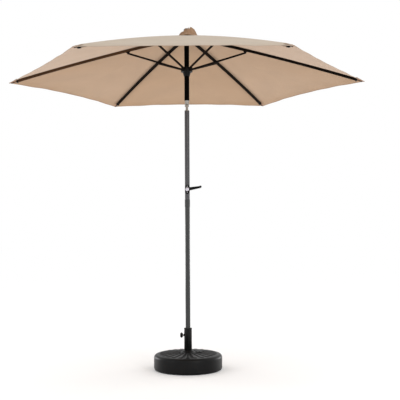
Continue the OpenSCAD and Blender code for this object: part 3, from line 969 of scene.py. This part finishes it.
@dataclass
class WaterBase:
    """The round tank with moulded ridges, its tube, clamp knob and fill cap."""

    rim_z: float = 0.112
    foot_r: float = 0.018
    shoulder_r: float = 0.024
    socket_wall: float = 0.005
    ridges: int = 24
    ridge_rise: float = 0.0042
    ridge_in: float = 0.052
    ridge_edge: float = 0.034
    cap_clear: float = 0.031
    neck_r: float = 0.019
    cap_rise: float = 0.010

    def top_height(self, cap: Vector, edge: float, x: float, y: float) -> float:
        """Return how far the moulded ridges lift the tank's top.

        Args:
            cap: Middle of the fill cap, which the ridges keep clear of.
            edge: Where the ridges end.
            x: The point's place to the right.
            y: The point's place to the back.

        Returns:
            The lift in metres.
        """
        r = math.hypot(x, y)
        if math.hypot(x - cap.x, y - cap.y) < self.cap_clear:
            return 0.0
        rise_in = min(1.0, max(0.0, (r - self.ridge_in) / 0.012))
        rise_out = min(1.0, max(0.0, (edge - r) / 0.010))
        wave = 0.5 + 0.5 * math.cos(self.ridges * math.atan2(y, x))
        crest = min(1.0, max(0.0, (wave - 0.28) / 0.44))
        crest = crest * crest * (3 - 2 * crest)
        return self.ridge_rise * crest * min(rise_in, rise_out)

    def tank(self) -> bpy.types.Object:
        """Turn the tank and raise its ridges.

        Returns:
            The closed tank, hollow only where its socket and neck are.
        """
        low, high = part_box("base_tank")
        r = (high[0] - low[0]) / 2
        tube_r = (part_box("base_tube")[1][1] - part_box("base_tube")[0][1]) / 2 - 0.0016
        socket = tube_r + self.socket_wall
        arc = [math.radians(90 * i / 6) for i in range(7)]
        foot = [(r - self.foot_r * (1 - math.sin(a)), self.foot_r * (1 - math.cos(a))) for a in arc]
        shoulder = [
            (r - self.shoulder_r * (1 - math.cos(a)), self.rim_z - self.shoulder_r * (1 - math.sin(a)))
            for a in arc
        ]
        slope = 0.014 / (r - self.shoulder_r - socket)
        dish = [
            (ring, self.rim_z + slope * (r - self.shoulder_r - ring))
            for ring in np.linspace(r - self.shoulder_r - 0.004, socket + 0.016, 46)
        ]
        cone = [(socket + 0.010, self.rim_z + 0.0165), (socket + 0.004, self.rim_z + 0.0215)]
        rings = [(0.05, 0.006), (r - 0.05, 0.006), (r - 0.045, 0.0), *foot, *shoulder, *dish, *cone]
        rings += [(socket + 0.0015, high[2] - 0.001), (socket, high[2]), (tube_r + 0.0004, high[2])]
        rings += [(tube_r + 0.0003, high[2] - 0.02)]
        piece = turned("tank_shell", rings, Matrix.Identity(4), sides=self.ridges * 14)
        floor = self.rim_z - 0.004
        cap = middle("fill_cap")
        for vertex in piece.data.vertices:
            x, y, z = vertex.co
            distance = math.hypot(x, y)
            if z > floor and socket + 0.01 < distance < r - self.shoulder_r:
                vertex.co.z += self.top_height(cap, r - self.ridge_edge, x, y)
        self.bore_neck(piece, cap)
        smooth(piece, math.radians(50))
        return piece

    def cap_seat(self) -> float:
        """Return the height that the fill cap sits at."""
        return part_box("fill_cap")[1][2] - self.cap_rise

    def bore_neck(self, tank: bpy.types.Object, cap: Vector) -> None:
        """Cut the round hole that the neck stands in.

        Args:
            tank: The tank's shell.
            cap: Middle of the fill cap.
        """
        seat = self.cap_seat()
        rings = [(self.neck_r + 0.005, seat - 0.0155), (self.neck_r + 0.005, seat + 0.03)]
        cutter = turned("neck_cutter", rings, Matrix.Translation((cap.x, cap.y, 0)), 64)
        activate(tank)
        modifier = tank.modifiers.new("Neck hole", "BOOLEAN")
        modifier.operation = "DIFFERENCE"
        modifier.object = cutter
        bpy.ops.object.modifier_apply(modifier=modifier.name)
        bpy.data.objects.remove(cutter)

    def neck_ring(self) -> bpy.types.Object:
        """Turn the open neck that the fill cap closes."""
        centre, seat, bore = middle("fill_cap"), self.cap_seat(), self.neck_r
        rings = [(bore + 0.0056, seat - 0.0160), (bore + 0.0056, seat - 0.0030)]
        rings += [(bore + 0.0048, seat - 0.0008), (bore + 0.0035, seat), (bore + 0.0005, seat)]
        rings += [(bore, seat - 0.0006), (bore, seat - 0.0150)]
        piece = turned("fill_neck", rings, Matrix.Translation((centre.x, centre.y, 0)), 64)
        smooth(piece)
        return piece

    def fill_cap(self) -> bpy.types.Object:
        """Turn the fill cap, press grip flutes into its rim, and raise its finger bar."""
        low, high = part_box("fill_cap")
        centre, seat = middle("fill_cap"), self.cap_seat()
        r, plug = (high[0] - low[0]) / 2, self.neck_r - 0.0003
        rings = [(plug - 0.001, seat - 0.014), (plug, seat - 0.013), (plug, seat), (r, seat + 0.0002)]
        rings += [(r, seat + 0.0030), (r - 0.0008, seat + 0.0048), (r - 0.0028, seat + 0.0060)]
        rings += [(r - 0.006, seat + 0.0054), (0.004, seat + 0.0052)]
        place = Matrix.Translation((centre.x, centre.y, 0))
        disc = turned("fill_cap_disc", rings, place, 96)
        for vertex in disc.data.vertices:
            away = vertex.co - Vector((centre.x, centre.y, vertex.co.z))
            if seat + 0.0001 < vertex.co.z < seat + 0.005 and away.length > r - 0.002:
                ridge = math.cos(math.atan2(away.y, away.x) * 24)
                vertex.co -= away.normalized() * 0.0007 * (1 - ridge)
        deselect()
        bpy.ops.mesh.primitive_cube_add(size=1, location=(centre.x, centre.y, seat + 0.0074))
        bar = bpy.context.object
        bar.scale = (0.0065, 2 * r - 0.014, 0.0052)
        bpy.ops.object.transform_apply(location=True, scale=True)
        bpy.ops.object.mode_set(mode="EDIT")
        select_faces(bar, lambda face: face.normal.z > 0.9)
        bpy.ops.transform.resize(value=(0.62, 0.9, 1))
        bpy.ops.object.mode_set(mode="OBJECT")
        bevel(bar, 0.0012, 3)
        piece = join([disc, bar], "fill_cap_moulding")
        smooth(piece)
        return piece

    def knob(self) -> bpy.types.Object:
        """Turn the clamp knob and press finger flutes into its rim."""
        low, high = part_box("clamp_knob")
        centre = middle("clamp_knob")
        r, long = (high[2] - low[2]) / 2, high[0] - low[0]
        rings = [(0.0078, 0.0), (0.0105, 0.0004), (r - 0.0058, 0.0018), (r - 0.0025, 0.0042)]
        rings += [(r - 0.0006, 0.0070), (r, 0.0100), (r - 0.0004, 0.0130)]
        rings += [(r - 0.0022, long - 0.0045), (r - 0.0060, long - 0.0014)]
        rings += [(0.009, long - 0.0002), (0.003, long)]
        place = Matrix.Translation((high[0], centre.y, centre.z)) @ Axis.TO_LEFT.value
        piece = turned("clamp_knob_moulding", rings, place, 96)
        for vertex in piece.data.vertices:
            away = Vector((0, vertex.co.y - centre.y, vertex.co.z - centre.z))
            if away.length > r * 0.62:
                lobe = 0.5 - 0.5 * math.cos(math.atan2(away.y, away.z) * 8)
                vertex.co -= away.normalized() * 0.0021 * lobe * (away.length / r) ** 3
        smooth(piece, math.radians(45))
        return piece

    def build(self) -> None:
        """Make every part of the base."""
        settle(self.tank(), "base", ["base_tank"], "tank_plastic", TANK_PLASTIC)
        settle(self.neck_ring(), "base", [], "tank_plastic", TANK_PLASTIC)
        settle(self.fill_cap(), "fill_cap", ["fill_cap"], "black_plastic", KNOB_PLASTIC)
        settle(self.knob(), "clamp_knob", ["clamp_knob"], "black_plastic", KNOB_PLASTIC)
        tube = eased_copy("base_tube", "base_tube_rolled", 0.0009, 3)
        settle(tube, "base", ["base_tube"], "black_steel", BLACK_STEEL)


# ---------- crank, tilt joint and top ----------


@dataclass
class CrankSet:
    """The crank's housing, arm, silver cap and turning grip."""

    def spun(
        self, name: str, rings: Sequence[tuple[float, float]], back: Vector, sides: int
    ) -> bpy.types.Object:
        """Turn a smooth part whose axis points at the viewer from its back face's middle."""
        piece = turned(name, rings, Matrix.Translation(back) @ Axis.TO_VIEWER.value, sides)
        smooth(piece)
        return piece

    def cap(self) -> bpy.types.Object:
        """Turn the domed silver cap with a fine groove round its rim."""
        low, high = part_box("crank_cap")
        centre = middle("crank_cap")
        r, deep = (high[0] - low[0]) / 2, high[1] - low[1]
        rings = [(r - 0.0003, 0.0), (r, 0.0004), (r, 0.0014), (r - 0.0006, 0.0020), (r - 0.0018, 0.0023)]
        rings += [(r - 0.0022, 0.0020), (r - 0.0030, 0.0027), (r - 0.006, deep - 0.0009)]
        rings += [(0.004, deep - 0.0001), (0.001, deep)]
        return self.spun("crank_cap_dome", rings, Vector((centre.x, high[1], centre.z)), 72)

    def grip(self) -> bpy.types.Object:
        """Turn the waisted grip with finger rings."""
        low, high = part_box("crank_grip")
        centre = middle("crank_grip")
        r, long = (high[0] - low[0]) / 2, high[1] - low[1]
        rings = [(0.0032, 0.0), (r - 0.0022, 0.0), (r - 0.0014, 0.0010), (r - 0.0012, 0.003)]
        for i in range(25):
            share = i / 24
            swell = 0.0014 * (1 - math.sin(math.pi * (0.12 + 0.8 * share)))
            rib = 0.00035 * math.cos(share * math.tau * 6)
            rings.append((r - 0.0003 - swell - rib, 0.004 + (long - 0.008) * share))
        rings += [(r - 0.0022, long - 0.0012), (r - 0.0038, long), (0.0032, long)]
        return self.spun("crank_grip_moulding", rings, Vector((centre.x, high[1], centre.z)), 48)

    def build(self) -> None:
        """Make the crank's moulded parts."""
        for node, body, easing in (("crank_housing", "pole", 0.0022), ("crank_arm", "crank", 0.0016)):
            moulding = eased_copy(node, f"{node}_moulding", easing, 3)
            settle(moulding, body, [node], "black_plastic", BLACK_PLASTIC)
        settle(self.cap(), "crank", ["crank_cap"], "bright_cap", SILVER_CAP)
        settle(self.grip(), "crank_grip", ["crank_grip"], "black_plastic", BLACK_PLASTIC)


@dataclass
class TopAndTilt:
    """The finial, hub, runner and the castings of the tilt joint."""

    def finial(self) -> bpy.types.Object:
        """Turn the finial with a waist and a rounded head."""
        low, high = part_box("finial")
        base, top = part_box("top_hub")[1][2], high[2]
        r = (high[0] - low[0]) / 2
        rings = [(0.012, base), (0.0125, base + 0.002), (0.0122, base + 0.008), (0.0100, base + 0.013)]
        rings += [(0.0118, base + 0.018), (r - 0.004, base + 0.024), (r - 0.0008, base + 0.029)]
        height = top - base - 0.033
        for i in range(9):
            a = math.radians(90 * i / 9)
            rings.append((r * math.cos(a), base + 0.033 + height * math.sin(a)))
        rings.append((0.0015, top))
        piece = turned("finial_turned", rings, Matrix.Identity(4), 72)
        smooth(piece)
        return piece

    def build(self) -> None:
        """Make the top's moulded parts and the tilt joint's castings."""
        settle(self.finial(), "upper", ["finial"], "finial_gloss", FINIAL_GLOSS)
        for node, body, width in (("top_hub", "upper", 0.0010), ("runner", "runner", 0.0012)):
            moulding = eased_copy(node, f"{node}_moulding", width)
            settle(moulding, body, [node], "black_plastic", BLACK_PLASTIC)
        for node, body in (("tilt_socket", "pole"), ("tilt_fork", "upper")):
            settle(eased_copy(node, f"{node}_casting", 0.0011, 3), body, [node], "cast_alloy", ALLOY)


CAD_FINISHES: dict[str, Finish] = {
    node: finish
    for finish, nodes in (
        (BLACK_PLASTIC, ("pole_bush", "pole_foot", "shaft_bush", "cord_spool", "rib_fittings")),
        (GREY_STEEL, ("lower_pole", "joint_collar")),
        (MID_STEEL, ("mid_pole",)),
        (POLE_STEEL, ("upper_pole",)),
        (RIB_STEEL, ("rib", "strut")),
        # Rib 4 takes the rib coat with painted light on it.
        (RIB_PAINTED_LIGHT, ("rib_4",)),
        (ALLOY, ("tilt_pin", "tilt_button")),
        (ZINC, ("clamp_screw", "pole_spigot", "crank_shaft", "brake_spring", "housing_screws")),
        (ZINC, ("button_spring", "hub_pins", "runner_pins")),
        (BLACKED_STEEL, ("grip_pin",)),
        (BRASS, ("clamp_pad",)),
        (RUBBER, ("cap_seal",)),
        (NYLON, ("pulley",)),
    )
    for node in nodes
}


def dress_cad_nodes(nodes: dict[str, bpy.types.Object]) -> None:
    """Give every CAD node that still shows its finish.

    Args:
        nodes: The frame's nodes by name.
    """
    for name, node in nodes.items():
        if node.hide_render:
            continue
        finish = CAD_FINISHES.get(name) or CAD_FINISHES[name.rstrip("0123456789").rstrip("_")]
        WARDROBE.dress(node, finish)
        log.info("%s keeps its CAD shape as %s", name, finish.name)


# ---------- studio ----------


@dataclass(frozen=True)
class Studio:
    """Pale floor, soft light and the camera."""

    distance: float = 5.542
    eye_height: float = 1.022
    eye_x: float = 0.0898
    lens: float = 69.38
    sensor: float = 36.0
    rise: float = 0.0676
    roll: float = 0.28

    def camera(self) -> None:
        """Stand the camera in front of the crank side, level and at mid height."""
        data = bpy.data.cameras.new("Studio camera")
        data.lens = self.lens
        data.sensor_width = self.sensor
        data.shift_y = self.rise
        data.clip_end = 100
        camera = bpy.data.objects.new("Studio camera", data)
        camera.location = (self.eye_x, -self.distance, self.eye_height)
        camera.rotation_euler = (math.radians(90), math.radians(self.roll), 0)
        bpy.context.scene.collection.objects.link(camera)
        bpy.context.scene.camera = camera

    def floor(self) -> None:
        """Lay a plain pale floor."""
        deselect()
        bpy.ops.mesh.primitive_plane_add(size=60, location=(0, 0, -0.0005))
        floor = bpy.context.object
        floor.name = "studio_floor"
        material = bpy.data.materials.new("Pale floor")
        material.use_nodes = True
        shader = material.node_tree.nodes["Principled BSDF"]
        shader.inputs["Base Color"].default_value = (0.93, 0.93, 0.93, 1)
        shader.inputs["Emission Color"].default_value = (1, 1, 1, 1)
        shader.inputs["Emission Strength"].default_value = 0.07
        shader.inputs["Roughness"].default_value = 0.95
        shader.inputs["Specular IOR Level"].default_value = 0.0
        floor.data.materials.append(material)

    def lamp(
        self, name: str, place: Sequence[float], aim: Sequence[float], size: tuple[float, float], power: float
    ) -> None:
        """Hang one soft rectangular lamp.

        Args:
            name: The lamp's name.
            place: Where it hangs.
            aim: The point that it faces.
            size: Width and height in metres.
            power: Power in watts.
        """
        data = bpy.data.lights.new(name, "AREA")
        data.shape = "RECTANGLE"
        data.size, data.size_y = size
        data.energy = power
        lamp = bpy.data.objects.new(name, data)
        lamp.location = place
        lamp.rotation_euler = (Vector(aim) - Vector(place)).to_track_quat("-Z", "Y").to_euler()
        bpy.context.scene.collection.objects.link(lamp)

    def light(self) -> None:
        """Set the white surroundings and the lamps."""
        world = bpy.data.worlds.new("White studio")
        world.use_nodes = True
        world.node_tree.nodes["Background"].inputs["Color"].default_value = (1, 1, 1, 1)
        world.node_tree.nodes["Background"].inputs["Strength"].default_value = 1.0
        bpy.context.scene.world = world
        self.lamp("Right strip softbox", (2.2, -3.6, 1.55), (0, 0, 1.45), (0.45, 1.8), 34)
        self.lamp("Left softbox", (-3.4, -2.4, 1.2), (0, 0, 1.1), (0.6, 1.4), 14)
        self.lamp("Rear left softbox", (-3.4, 2.8, 0.7), (0.5, -0.3, 2.1), (1.2, 0.8), 50)
        self.lamp("Rear right softbox", (3.4, 2.8, 0.7), (-0.5, -0.3, 2.1), (1.2, 0.8), 50)
        bpy.context.scene.view_settings.view_transform = "Standard"

    def build(self) -> None:
        """Set up the whole studio."""
        self.camera()
        self.floor()
        self.light()


def main() -> None:
    """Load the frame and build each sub-assembly."""
    logging.basicConfig(level=logging.INFO, format="%(message)s")
    for name in ("Cube", "Light", "Camera"):
        if name in bpy.data.objects:
            bpy.data.objects.remove(bpy.data.objects[name])
    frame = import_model()
    Studio().build()
    LIBRARY.build()
    for assembly in (Canopy(), VentCap(), WaterBase(), CrankSet(), TopAndTilt()):
        log.info("building %s", type(assembly).__name__)
        assembly.build()
    dress_cad_nodes(frame["nodes"])
    deselect()


if __name__ == "__main__":
    main()
